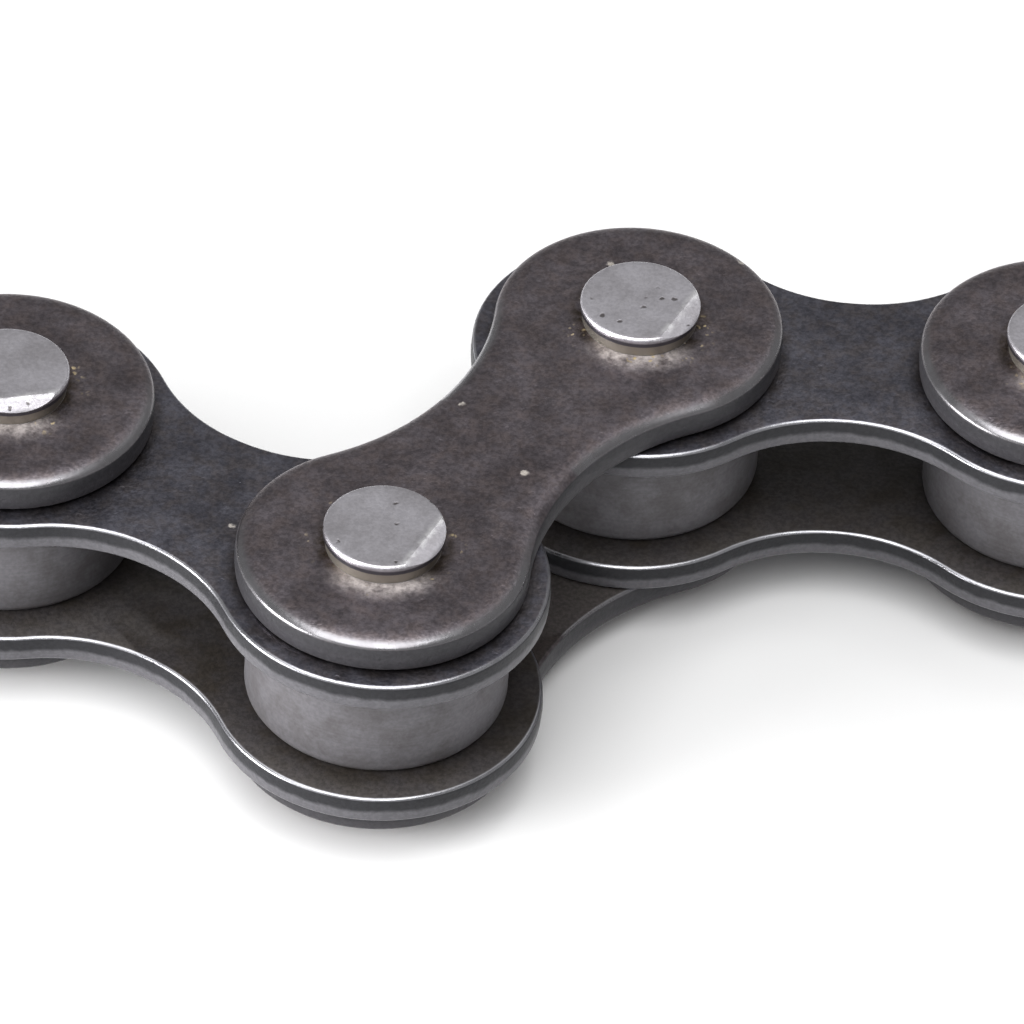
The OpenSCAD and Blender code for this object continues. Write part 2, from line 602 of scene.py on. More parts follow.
@dataclass(frozen=True)
class PinDirtAndReflection:
    """Grime round a plate's pins, with a painted reflection: dark grime, a pale painted reflection of the pin
    on its near side and flecks of dry grease.
    """

    grime: Colour = (0.07, 0.052, 0.036)
    # pale colour of the painted reflection of the pin
    pin_reflection: Colour = (0.5, 0.455, 0.445)
    fleck: Colour = (0.46, 0.37, 0.22)
    cloud_noise: Noise = (2.4, 5.0, 0.65)
    grime_fade: Step = (0.55, 0.05)
    grime_cloud: Step = (0.34, 0.6)
    grime_strength: float = 0.85
    reflection_fade: Step = (0.95, 0.1)
    reflection_front: Step = (0.5, 0.95)
    reflection_cloud: Step = (0.25, 0.6, 0.15, 0.9)
    flecks: Scatter = Scatter(6.0, 0.5, 0.3)
    fleck_fade: Step = (0.9, 0.2)
    clump_noise: Noise = (0.9, 3.0)
    clumps: Step = (0.48, 0.6)

    def lay(self, board: FinishBoard, colour: Socket) -> Tuple[Socket, Socket]:
        """Lays the grime, the pin's painted reflection and the flecks over a plate's colour.

        Args:
            board: material under construction.
            colour: colour of the clean plate.

        Returns:
            Colour of the soiled plate, and where the painted reflection and the dry flecks hide the metal.
        """
        distance, front = board.stored("pin_distance"), board.stored("pin_front")
        cloud = board.noise(board.place, *self.cloud_noise)
        grime = board.times(board.ramp(distance, *self.grime_fade), board.ramp(cloud, *self.grime_cloud))
        colour = board.blend(board.times(grime, self.grime_strength), colour, self.grime)
        # pale painted reflection of the pin, on the plate's near side
        pin_reflection = board.times(board.ramp(distance, *self.reflection_fade), board.ramp(front, *self.reflection_front))
        pin_reflection = board.times(pin_reflection, board.ramp(cloud, *self.reflection_cloud))
        colour = board.blend(pin_reflection, colour, self.pin_reflection)
        clumps = board.ramp(board.noise(board.place, *self.clump_noise), *self.clumps)
        near = board.times(board.ramp(distance, *self.fleck_fade), clumps)
        flecks = board.times(self.flecks.mask(board), near)
        return board.blend(flecks, colour, self.fleck), board.math("MAXIMUM", pin_reflection, flecks)


@dataclass(frozen=True)
class CreviceShadeAndOil:
    """Painted shade, with black oil, on an inner plate along the end of the outer plate that runs over it."""

    # colour of the painted crevice shade, with oil
    oil: Colour = (0.058, 0.048, 0.042)
    start: float = 1.8
    reach: float = 0.4
    streak_noise: Noise = (1.5, 4.0)
    streaks: Step = (0.3, 0.6, 0.15, 0.6)

    def lay(self, board: FinishBoard, colour: Socket, face: Socket) -> Socket:
        """Lays the painted shade and oil over a plate's colour.

        Args:
            board: material under construction.
            colour: colour of the clean plate.
            face: where the plate's outer face is.

        Returns:
            Colour of the plate with the painted shade and oil.
        """
        distance = board.stored("pin_distance")
        ring = board.times(board.ramp(distance, self.start + self.reach, self.start),
                           board.ramp(distance, self.start - self.reach, self.start))
        streaks = board.ramp(board.noise(board.place, *self.streak_noise), *self.streaks)
        return board.blend(board.times(board.times(ring, streaks), face), colour, self.oil)


@dataclass(frozen=True)
class PlateFinish:
    """Oiled, tumbled plate steel with worn rounded edges, a stamped wall and a dusty inner face, with painted
    shade on the wall and the inner face and painted light on the near side's edges and rim.
    """

    name: str
    dark: Colour
    light: Colour
    warm: Colour
    # colour of worn edges, kept to the near side as a painted highlight
    worn: Colour
    wall: WallTone
    dirt_and_reflection: Optional[PinDirtAndReflection] = None
    crevice: Optional[CreviceShadeAndOil] = None
    # dark colour of the inner face: dust, and painted shade between the plates
    dust_and_shade: Colour = (0.03, 0.025, 0.021)
    # lighter inner face near the front rim: painted light
    rim_dust_and_light: Colour = (0.068, 0.061, 0.057)
    crumb: Colour = (0.4, 0.37, 0.33)
    patch_scale: float = 0.9
    grain_scale: float = 8.0
    grain_tone: Step = (0.0, 1.0, 0.77, 1.2)
    warm_share: float = 0.6
    wall_steepness: Step = (0.32, 0.68)
    dust_and_shade_cover: Step = (0.0, 1.0, 0.8, 1.0)
    rim_light_reach: Step = (1.3, 2.4)
    rim_light_front: Step = (0.1, 0.9)
    crumbs: Scatter = Scatter(0.5, 0.07, 0.55)
    crumb_strength: float = 0.8
    wear_breaks: float = 0.25
    # limits the bright edges to the near side of the pins: painted highlight
    wear_and_highlight_front: Step = (-0.4, 0.3, 0.05, 1.0)
    wear_polish: float = 0.14
    wear_smooths: Step = (0.0, 1.0, 1.0, 0.2)
    pits: Scatter = Scatter(2.6, 0.3, 0.3)
    patch_height: float = 0.5
    roughness: float = 0.4
    rough_spread: float = 0.1
    bump_mm: float = 0.005

    def material(self) -> Material:
        """Builds the material of a whole plate.

        Returns:
            The finished material.
        """
        board = FinishBoard(self.name, 1.0)
        patches, grain, warmth = board.mottle(self.patch_scale, self.grain_scale)
        colour = board.blend(patches, self.dark, self.light)
        colour = board.blend(board.times(warmth, self.warm_share), colour, self.warm)
        steepness, front = board.stored("steepness"), board.stored("pin_front")
        upright = board.ramp(steepness, *self.wall_steepness)
        # inner face covered by dust and painted shade
        inside = board.times(board.stored("inside"), board.ramp(patches, *self.dust_and_shade_cover))
        covers = [inside, board.times(upright, self.wall.dullness)]
        if self.dirt_and_reflection:
            # grime and flecks, with the pin's painted reflection on the near side
            colour, dry = self.dirt_and_reflection.lay(board, colour)
            covers.append(dry)
        if self.crevice:
            # painted shade, with oil, along the end of the outer plate that runs over the inner one
            colour = self.crevice.lay(board, colour, board.math("SUBTRACT", 1.0, board.stored("inside")))
        crumbs = self.crumbs.mask(board)
        covers.append(crumbs)
        board.bare(covers)
        # painted light: the inner face lighter near the rim on the near side
        near_rim_light = board.times(board.ramp(board.stored("pin_distance"), *self.rim_light_reach),
                               board.ramp(front, *self.rim_light_front))
        colour = board.blend(inside, colour, board.blend(near_rim_light, self.dust_and_shade, self.rim_dust_and_light))
        colour = board.blend(board.times(crumbs, self.crumb_strength), colour, self.crumb)
        colour = board.tint(colour, board.ramp(grain, *self.grain_tone))
        edges = {"Steepness": steepness, "Break-up": self.wear_breaks}
        wear = board.effect(EffectGroups.edge_wear(), edges)["Wear"]
        # wear kept to the near side of the pins: partly a painted highlight
        wear = board.times(wear, board.ramp(front, *self.wear_and_highlight_front))
        colour = board.blend(wear, colour, self.worn)
        # sides in the wall's tones, kept dark as painted shade
        colour = board.blend(upright, colour, self.wall.tone(board, patches, grain))
        smoothest = self.roughness - self.rough_spread / 2
        rough = board.math("ADD", smoothest, board.times(patches, self.rough_spread))
        rough = board.math("SUBTRACT", rough, board.times(wear, self.wear_polish))
        height = board.math("ADD", grain, board.times(patches, self.patch_height))
        height = board.math("SUBTRACT", height, self.pits.mask(board))
        height = board.times(height, board.ramp(wear, *self.wear_smooths))
        return board.finish(colour, rough, height, self.bump_mm)


@dataclass(frozen=True)
class PinFinish:
    """Ground pin steel: pale satin head with pits and a bright painted highlight along its ridge, a dark side
    of painted shade under the rim, and a tarnished stem.
    """

    name: str
    head: Colour = (0.72, 0.7, 0.75)
    shade: Colour = (0.53, 0.51, 0.54)
    # bright colour of the painted highlight along the flat's ridge
    ridge: Colour = (0.95, 0.94, 0.96)
    # dark colour of the head's side: painted shade under the rim
    side: Colour = (0.12, 0.115, 0.13)
    stem: Colour = (0.32, 0.295, 0.26)
    pit: Colour = (0.1, 0.085, 0.08)
    patch_scale: float = 0.8
    grain_scale: float = 9.0
    grain_tone: Step = (0.0, 1.0, 0.92, 1.08)
    grain_height: float = 0.3
    pits: Scatter = Scatter(1.9, 0.2, 0.45)
    pit_strength: float = 0.8
    glint_width: Step = (0.2, 0.02)
    glint_depth: Step = (0.1, 0.05)
    glint_noise: Noise = (2.2, 5.0, 0.7)
    glint_breaks: Step = (0.35, 0.65)
    shaded_side_depth: Step = (0.12, 0.2)
    stem_depth: Step = (0.3, 0.38)
    stem_rough: float = 0.08
    roughness: float = 0.38
    bump_mm: float = 0.008

    def material(self) -> Material:
        """Builds the material of a pin.

        Returns:
            The finished material.
        """
        board = FinishBoard(self.name, 1.0)
        patches, grain, _ = board.mottle(self.patch_scale, self.grain_scale)
        colour = board.blend(patches, self.shade, self.head)
        colour = board.tint(colour, board.ramp(grain, *self.grain_tone))
        pits = self.pits.mask(board)
        colour = board.blend(board.times(pits, self.pit_strength), colour, self.pit)
        below = board.stored("below_head")
        from_ridge = board.math("ABSOLUTE", board.stored("flat_side"))
        # painted highlight along the ridge of the flat, broken up
        ridge = board.times(board.ramp(from_ridge, *self.glint_width), board.ramp(below, *self.glint_depth))
        breaks = board.ramp(board.noise(board.place, *self.glint_noise), *self.glint_breaks)
        colour = board.blend(board.times(ridge, breaks), colour, self.ridge)
        # painted shade on the head's side, under the rim
        colour = board.blend(board.ramp(below, *self.shaded_side_depth), colour, self.side)
        stem = board.ramp(below, *self.stem_depth)
        colour = board.blend(stem, colour, self.stem)
        rough = board.math("ADD", self.roughness, board.times(stem, self.stem_rough))
        height = board.math("SUBTRACT", board.times(grain, self.grain_height), pits)
        return board.finish(colour, rough, height, self.bump_mm)


@dataclass(frozen=True)
class TurnedFinish:
    """Satin steel of rollers and bushes, with faint marks round it and brown painted shade and oil at its
    ends, where they meet the plates.
    """

    name: str
    light: Colour
    dark: Colour
    # brown of the painted shade and oil at the ends
    oil: Colour = (0.075, 0.067, 0.063)
    shade_and_oil_reach: float = 0.8
    shade_and_oil_cover: Step = (0.0, 1.0, 0.5, 0.9)
    patch_scale: float = 0.8
    grain_scale: float = 8.0
    grain_tone: Step = (0.0, 1.0, 0.9, 1.1)
    grain_height: float = 0.5
    ring_stretch: Tuple[float, float, float] = (0.25, 0.25, 12.0)
    ring_noise: Noise = (1.0, 3.0)
    ring_tone: Step = (0.3, 0.7, 0.94, 1.05)
    roughness: float = 0.4
    rough_spread: float = 0.1
    metallic: float = 1.0
    bump_mm: float = 0.002

    def material(self) -> Material:
        """Builds the material of a turned piece.

        Returns:
            The finished material.
        """
        board = FinishBoard(self.name, self.metallic)
        patches, grain, _ = board.mottle(self.patch_scale, self.grain_scale)
        rings = board.noise(board.shift("MULTIPLY", board.place, self.ring_stretch), *self.ring_noise)
        colour = board.blend(patches, self.dark, self.light)
        colour = board.tint(colour, board.ramp(rings, *self.ring_tone))
        colour = board.tint(colour, board.ramp(grain, *self.grain_tone))
        # ends darkened: painted shade where the ring meets the plates, with oil
        ends = board.ramp(board.stored("from_end"), self.shade_and_oil_reach, 0.0)
        colour = board.blend(board.times(ends, board.ramp(patches, *self.shade_and_oil_cover)), colour, self.oil)
        rough = board.math("ADD", self.roughness, board.times(patches, self.rough_spread))
        height = board.math("ADD", rings, board.times(grain, self.grain_height))
        return board.finish(colour, rough, height, self.bump_mm)


OUTER_STEEL = PlateFinish(
    name="Tumbled outer plate",
    dark=(0.135, 0.118, 0.128),
    light=(0.2, 0.178, 0.195),
    warm=(0.198, 0.161, 0.158),
    worn=(0.3, 0.295, 0.31),
    # wall tones kept dark as painted shade on the sides
    wall=WallTone(burnished=(0.042, 0.041, 0.045), torn=(0.052, 0.05, 0.055)),
    dirt_and_reflection=PinDirtAndReflection(),
)
INNER_STEEL = PlateFinish(
    name="Tumbled inner plate",
    dark=(0.106, 0.104, 0.125),
    light=(0.164, 0.162, 0.192),
    warm=(0.155, 0.136, 0.136),
    worn=(0.47, 0.47, 0.5),
    # wall tones kept dark as painted shade on the sides
    wall=WallTone(burnished=(0.027, 0.027, 0.03), torn=(0.115, 0.112, 0.122)),
    crevice=CreviceShadeAndOil(),
)
PIN_STEEL = PinFinish("Riveted pin")
ROLLER_STEEL = TurnedFinish(
    name="Satin roller",
    light=(0.3, 0.294, 0.322),
    dark=(0.235, 0.23, 0.252),
    roughness=0.62,
    metallic=0.7,
)
BUSH_STEEL = TurnedFinish(name="Satin bush", light=(0.26, 0.25, 0.25), dark=(0.16, 0.15, 0.145))


@dataclass(frozen=True)
class ChainLayout:
    """Places of the chain's pivots, from the frame, in metres."""

    pivots: Tuple[Vector, ...]

    @classmethod
    def from_record(cls, record: dict) -> "ChainLayout":
        """Reads the pivots from the joints and the free bushes from the mounts.

        Args:
            record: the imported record.

        Returns:
            The layout, from the left end to the right.
        """
        joints = {joint["name"]: Vector(joint["pos_m"]) for joint in record["behaviour"]["joints"]}
        mounts = {mount["name"]: Vector(mount["pos_m"]) for mount in record["mounts"]}
        inner = [joints[name] for name in sorted(joints) if name.startswith("pivot_")]
        return cls((mounts["left_bush_bore"], *inner, mounts["right_bush_bore"]))

    @property
    def pitch(self) -> float:
        """Distance between pivots, in millimetres."""
        return (self.pivots[1] - self.pivots[0]).length / MM

    def ends(self, number: int) -> Tuple[Vector, ...]:
        """Left and right pivot of a link."""
        return self.pivots[number - 1:number + 1]

    def end_r(self, number: int, low: Vector, high: Vector) -> float:
        """Radius of the round ends of a link's plate, in millimetres, from the corners of its box."""
        left, right = self.ends(number)
        return (high.x - low.x) / 2 / MM - abs(right.x - left.x) / 2 / MM

    def link(self, number: int) -> Matrix:
        """Place of a link's middle, turned along the link, from millimetres to metres.

        Args:
            number: the link's number from the left.

        Returns:
            The place as a matrix.
        """
        left, right = self.ends(number)
        run = right - left
        turn = Matrix.Rotation(math.atan2(run.y, run.x), 4, "Z")
        return Matrix.Translation((left + right) / 2) @ turn @ Matrix.Scale(MM, 4)

    def pivot(self, number: int, end: End) -> Matrix:
        """Place of one end of a link, turned along the link, from millimetres to metres."""
        return self.link(number) @ Matrix.Translation((end.value * self.pitch / 2, 0, 0))


class ChainPiece:
    """Piece of the chain that is modelled once and wears one finish all over."""

    @staticmethod
    def dress(model: Piece, steel: Material) -> None:
        """Puts a finish on a model."""
        model.data.materials.append(steel)


@dataclass
class LinkPlate(ChainPiece):
    """Figure-eight plate of a link, in millimetres, with the link's middle at the origin."""

    name: str
    pitch: float
    end_r: float
    waist: float
    hole_r: float
    low: float
    high: float
    edge_r: float
    crown_w: float = 0.0
    crown_d: float = 0.0
    torn_ridge: float = 0.02
    end_steps: int = 64
    waist_steps: int = 11
    middle_steps: int = 6
    rings: int = 1
    edge_segments: int = 5
    hole_segments: int = 2
    crown_steps: int = 7
    shade_angle: float = 35.0

    def __post_init__(self) -> None:
        """Works out the waist arc that touches both round ends, and the level of the torn band."""
        self.half = self.pitch / 2
        self.arc_r = (self.half ** 2 + self.waist ** 2 - self.end_r ** 2) / (2 * (self.end_r - self.waist))
        self.arc_y = self.waist + self.arc_r
        self.touch = math.atan2(self.arc_y, self.half)
        self.torn_level = self.low + TORN_SHARE * (self.high - self.low)

    @property
    def hole_edge_r(self) -> float:
        """Radius that the edges of the holes are broken to."""
        return self.edge_r / 3

    def rim_distance(self, place: Vector) -> float:
        """Distance of a point from the plate's outline, inwards.

        Args:
            place: point of the plate.

        Returns:
            The distance, or 0 at the outline.
        """
        x, y = abs(place.x), abs(place.y)
        if x < self.half and math.atan2(y, self.half - x) < self.touch:
            return max(0.0, math.hypot(x, self.arc_y - y) - self.arc_r)
        return max(0.0, self.end_r - math.hypot(x - self.half, y))

    def pin_distance(self, place: Vector) -> float:
        """Distance of a point from the edge of the nearest hole."""
        return max(0.0, math.hypot(abs(place.x) - self.half, place.y) - self.hole_r)

    def _outline(self) -> Piece:
        """Spins one vertex round the arcs of the plate's left half, and closes the outline at the middle.

        Returns:
            Object with the outline, in edit mode.
        """
        waist_turn = math.pi / 2 - self.touch
        Bench.clear()
        bpy.ops.mesh.primitive_plane_add(size=1.0, location=(0, 0, 0))
        piece = Bench.begin(self.name)
        bpy.ops.mesh.select_all(action="SELECT")
        bpy.ops.mesh.merge(type="CENTER")
        bpy.ops.mesh.select_all(action="SELECT")
        bpy.ops.transform.translate(value=(0, self.waist, 0))
        arcs = ((self.waist_steps, waist_turn, (0, self.arc_y, 0)),
                (self.end_steps, 2 * self.touch - 2 * math.pi, (-self.half, 0, 0)),
                (self.waist_steps, waist_turn, (0, -self.arc_y, 0)))
        for steps, angle, centre in arcs:
            bpy.ops.mesh.spin(steps=steps, angle=angle, center=centre, axis=(0, 0, 1))
        step = 2 * self.waist / self.middle_steps
        for _ in range(self.middle_steps):
            bpy.ops.mesh.extrude_region_move(TRANSFORM_OT_translate={"value": (0, step, 0)})
        Bench.weld(face_out=False)
        return piece

    def build(self) -> Piece:
        """Fills the outline, mirrors it, gives it thickness and rounds its edges.

        Returns:
            Model of the upper plate, at its height above the mid-plane.
        """
        piece = self._outline()
        around = self.end_steps + 2 * self.waist_steps + self.middle_steps
        bpy.ops.mesh.select_all(action="DESELECT")
        bpy.ops.mesh.primitive_circle_add(vertices=around, radius=self.hole_r, location=(-self.half, 0, 0))
        bpy.ops.mesh.select_mode(type="EDGE")
        bpy.ops.mesh.select_all(action="SELECT")
        bpy.ops.mesh.bridge_edge_loops(number_cuts=self.rings, interpolation="LINEAR")
        Bench.mirror(piece, (True, False, False))
        bpy.ops.mesh.select_all(action="SELECT")
        bpy.ops.transform.translate(value=(0, 0, self.low))
        Bench.raise_by(self.high - self.low - self.crown_d)
        if self.crown_w:
            self._crown(piece)
        Bench.weld()
        self._round_rims(piece)
        Bench.level_cut(self.torn_level)
        self._ridge_wall(piece)
        Bench.done()
        Bench.shade(self.shade_angle)
        Bench.measure(piece, "steepness", lambda vertex: 1 - abs(vertex.normal.z))
        Bench.measure(piece, "inside", lambda vertex: float(vertex.co.z - self.low < SLACK_MM))
        Bench.measure(piece, "pin_distance", lambda vertex: self.pin_distance(vertex.co))
        return piece

    def _crown(self, piece: Piece) -> None:
        """Domes the upper edge to a quarter of an ellipse, and levels the face round the holes again.

        Args:
            piece: plate in edit mode, with its upper face selected.
        """
        turns = [math.pi / 2 * step / self.crown_steps for step in range(self.crown_steps + 1)]
        for last, turn in zip(turns, turns[1:]):
            bpy.ops.mesh.inset(thickness=self.crown_w * (math.cos(last) - math.cos(turn)),
                               depth=self.crown_d * (math.sin(turn) - math.sin(last)))
        floor = self.high - self.crown_d - SLACK_MM
        reach = self.crown_w + SLACK_MM

        def at_hole(face: Face) -> bool:
            """Tells whether a face of the upper side was domed by its hole."""
            return all(vert.co.z > floor and self.pin_distance(vert.co) < reach for vert in face.verts)

        Bench.pick_faces(piece, at_hole)
        bpy.ops.transform.resize(value=(1, 1, 0), center_override=(0, 0, self.high))

    def _round_rims(self, piece: Piece) -> None:
        """Rounds the outline's edges that aren't domed, and breaks the holes' edges.

        Args:
            piece: plate in edit mode.
        """
        top = (self.low if self.crown_w else self.high) + SLACK_MM
        rounds = ((self.rim_distance, self.edge_r, self.edge_segments),
                  (self.pin_distance, self.hole_edge_r, self.hole_segments))
        for distance, width, segments in rounds:
            Bench.pick_edges(piece, lambda edge: Bench.level(edge) and all(
                distance(vert.co) < SLACK_MM and vert.co.z < top for vert in edge.verts))
            Bench.round_edges(width, segments)

    def _ridge_wall(self, piece: Piece) -> None:
        """Raises a faint ridge in the wall where the torn band meets the burnished one.

        Args:
            piece: plate in edit mode.
        """
        Bench.pick_edges(piece, lambda edge: all(
            abs(vert.co.z - self.torn_level) < SLACK_MM and self.rim_distance(vert.co) < SLACK_MM
            for vert in edge.verts))
        bpy.ops.transform.shrink_fatten(value=self.torn_ridge)

    def mark(self, piece: Piece, pivots: Sequence[Vector]) -> None:
        """Stores the height in the wall, and how far a vertex lies on the near side of its nearest pin.

        Args:
            piece: plate in its place, in metres.
            pivots: places of its two pins.
        """
        lowest = min(vertex.co.z for vertex in piece.data.vertices)
        thick = self.high - self.low

        def front(vertex: Vertex) -> float:
            """Share of the way from the nearest pin that goes to the near side."""
            offset = min(((vertex.co - pivot).to_2d() for pivot in pivots), key=lambda gap: gap.length)
            return -offset.y / offset.length

        Bench.measure(piece, "wall_height", lambda vertex: (vertex.co.z - lowest) / thick / MM)
        Bench.measure(piece, "pin_front", front)


@dataclass
class RivetedPin(ChainPiece):
    """Pin with a spread, flattened head at each end, in millimetres, upright at the origin."""

    name: str
    radius: float
    top: float
    head_r: float
    head_t: float
    rim_r: float
    sides: int = 72
    rim_segments: int = 5
    rings: Tuple[float, ...] = (0.15, 0.3, 0.4, 0.4)
    facet_tilt: float = 18.0
    facet_turn: float = -82.0
    facet_depth: float = 0.17
    ridge_r: float = 0.05
    ridge_segments: int = 2
    level_normal: float = 0.99
    shade_angle: float = 14.0

    def __post_init__(self) -> None:
        """Works out the slope of the flat and the way across it."""
        self.tilt = math.radians(self.facet_tilt)
        turn = math.radians(self.facet_turn)
        self.across = Vector((math.cos(turn), math.sin(turn), 0))

    def build(self) -> Piece:
        """Raises the upper half from a circle, flattens its head and mirrors it.

        Returns:
            Model of the pin.
        """
        Bench.clear()
        bpy.ops.mesh.primitive_circle_add(vertices=self.sides, radius=self.radius, fill_type="NGON",
                                          location=(0, 0, 0))
        piece = Bench.begin(self.name)
        bpy.ops.mesh.select_all(action="SELECT")
        Bench.raise_by(self.top - self.head_t)
        Bench.raise_by(self.rim_r / 2)
        Bench.spread_by(self.head_r / self.radius)
        Bench.raise_by(self.head_t - self.rim_r / 2)
        Bench.pick_faces(piece, lambda face: face.calc_center_median().z < SLACK_MM)
        bpy.ops.mesh.delete(type="ONLY_FACE")
        Bench.pick_edges(piece, lambda edge: all(abs(vert.co.z - self.top) < SLACK_MM for vert in edge.verts))
        Bench.round_edges(self.rim_r, self.rim_segments)
        Bench.pick_faces(piece, self._on_top)
        for width in self.rings:
            bpy.ops.mesh.inset(thickness=width)
        bpy.ops.mesh.poke()
        self._flatten(piece)
        Bench.mirror(piece, (False, False, True))
        Bench.weld()
        Bench.done()
        Bench.shade(self.shade_angle)
        ridge = self.head_r - self.facet_depth / math.tan(self.tilt)
        Bench.measure(piece, "below_head", lambda vertex: self.top - abs(vertex.co.z))
        Bench.measure(piece, "flat_side", lambda vertex: vertex.co.dot(self.across) - ridge)
        return piece

    def _on_top(self, face: Face) -> bool:
        """Tells whether a face is the level top of the head."""
        return face.calc_center_median().z > self.top - SLACK_MM and face.normal.z > self.level_normal

    def _flatten(self, piece: Piece) -> None:
        """Cuts the slanting flat that the riveting hammer left on the head.

        Args:
            piece: upper half in edit mode.
        """
        outwards = math.sin(self.tilt) * self.across + Vector((0, 0, math.cos(self.tilt)))
        corner = self.head_r * self.across + Vector((0, 0, self.top - self.facet_depth))
        bpy.ops.mesh.select_mode(type="FACE")
        bpy.ops.mesh.select_all(action="SELECT")
        bpy.ops.mesh.bisect(plane_co=corner, plane_no=outwards, use_fill=True, clear_outer=True)
        slack = SLACK_MM / 2
        Bench.pick_edges(piece, lambda edge: all(
            abs((vert.co - corner).dot(outwards)) < slack and vert.co.z > self.top - slack
            for vert in edge.verts))
        Bench.round_edges(self.ridge_r, self.ridge_segments)


@dataclass
class TurnedRing(ChainPiece):
    """Roller or bush: a tube with rounded or chamfered rims, in millimetres, upright at the origin."""

    name: str
    outer_r: float
    bore_r: float
    length: float
    outer_round: float
    bore_round: float
    sides: int = 96
    segments: int = 4
    bore_segments: int = 2
    end_normal: float = 0.9
    slack: float = 0.02
    shade_angle: float = 30.0

    def build(self) -> Piece:
        """Insets a cylinder's ends, opens the bore and rounds the rims.

        Returns:
            Model of the ring.
        """
        Bench.clear()
        bpy.ops.mesh.primitive_cylinder_add(vertices=self.sides, radius=self.outer_r, depth=self.length,
                                            location=(0, 0, 0))
        piece = Bench.begin(self.name)
        Bench.pick_faces(piece, lambda face: abs(face.normal.z) > self.end_normal)
        bpy.ops.mesh.inset(thickness=self.outer_r - self.bore_r, use_individual=True)
        bpy.ops.mesh.delete(type="ONLY_FACE")
        self._pick_rims(piece, self.bore_r)
        bpy.ops.mesh.bridge_edge_loops()
        self._pick_rims(piece, self.outer_r)
        Bench.round_edges(self.outer_round, self.segments)
        self._pick_rims(piece, self.bore_r)
        Bench.round_edges(self.bore_round, self.bore_segments)
        Bench.weld()
        Bench.done()
        Bench.shade(self.shade_angle)
        Bench.measure(piece, "from_end", lambda vertex: self.length / 2 - abs(vertex.co.z))
        return piece

    def _pick_rims(self, piece: Piece, radius: float) -> None:
        """Selects the level edges at one radius."""
        Bench.pick_edges(piece, lambda edge: Bench.level(edge, self.slack) and all(
            abs(vert.co.xy.length - radius) < self.slack for vert in edge.verts))


@dataclass
class Links:
    """Links of one kind, which stand in their places in the chain."""

    layout: ChainLayout

    @staticmethod
    def fit(model: Piece, node: str, body: str, slot: Slot, place: Matrix) -> Piece:
        """Copies a dressed model into the place of a CAD node.

        Args:
            model: dressed model in millimetres.
            node: CAD node that it stands for.
            body: CAD body that it moves with.
            slot: material slot of the record; not used.
            place: where it goes.

        Returns:
            The fitted piece.
        """
        piece = Bench.copy(model, "worn_" + node, place)
        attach(piece, body)
        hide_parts(node)
        LOG.info("%s rides on %s: %d faces", piece.name, body, len(piece.data.polygons))
        return piece

    def fit_plates(self, plate: LinkPlate, model: Piece, kind: str, number: int, slot: Slot) -> None:
        """Fits the upper and the lower plate of a link.

        Args:
            plate: sizes of the plate.
            model: dressed model of the upper plate.
            kind: inner or outer.
            number: the link's number from the left.
            slot: material slot of the record.
        """
        for side in Side:
            place = self.layout.link(number) @ Matrix.Rotation(side.value, 4, "X")
            node = f"{kind}_plate_{number}_{side.name.lower()}"
            piece = self.fit(model, node, f"{kind}_link_{number}", slot, place)
            plate.mark(piece, self.layout.ends(number))


@dataclass
class InnerLinks(Links):
    """Inner links: two plates pressed on two bushes, with a roller on each bush."""

    numbers: Tuple[int, ...] = (1, 3, 5, 7)
    waist: float = 2.68
    plate_edge_r: float = 0.14
    bush_rim_r: float = 0.03
    bush_chamfer: float = 0.15
    roller_clearance: float = 0.05
    roller_round: float = 0.24
    roller_bore_round: float = 0.08

    def build(self) -> None:
        """Models a plate, a bush and a roller, and fits copies of them into every inner link."""
        plate_low, plate_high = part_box("inner_plate_1_upper")
        bush_low, bush_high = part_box("bush_1_left")
        roller_low, roller_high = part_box("roller_1_left")
        bush_r = (bush_high.x - bush_low.x) / 2 / MM
        roller_r = (roller_high.x - roller_low.x) / 2 / MM
        bore_r = next(m["dims"]["r_mm"] for m in frame["record"]["mounts"] if m["name"] == "left_bush_bore")
        plate = LinkPlate("inner_plate_model", self.layout.pitch, self.layout.end_r(1, plate_low, plate_high),
                          self.waist, bush_r, plate_low.z / MM, plate_high.z / MM, self.plate_edge_r)
        bush = TurnedRing("bush_model", bush_r, bore_r, (bush_high.z - bush_low.z) / MM, self.bush_rim_r,
                          self.bush_chamfer)
        roller = TurnedRing("roller_model", roller_r, bush_r + self.roller_clearance,
                            (roller_high.z - roller_low.z) / MM, self.roller_round, self.roller_bore_round)
        plate_model, bush_model, roller_model = plate.build(), bush.build(), roller.build()
        plate.dress(plate_model, INNER_STEEL.material())
        bush.dress(bush_model, BUSH_STEEL.material())
        roller.dress(roller_model, ROLLER_STEEL.material())
        for number in self.numbers:
            self.fit_plates(plate, plate_model, "inner", number, Slot.INNER_PLATE)
            for end in End:
                place = self.layout.pivot(number, end)
                spot = f"{number}_{end.name.lower()}"
                self.fit(bush_model, f"bush_{spot}", f"inner_link_{number}", Slot.BUSH, place)
                self.fit(roller_model, f"roller_{spot}", f"roller_{spot}", Slot.ROLLER, place)
        for model in (plate_model, bush_model, roller_model):
            Bench.bin(model)


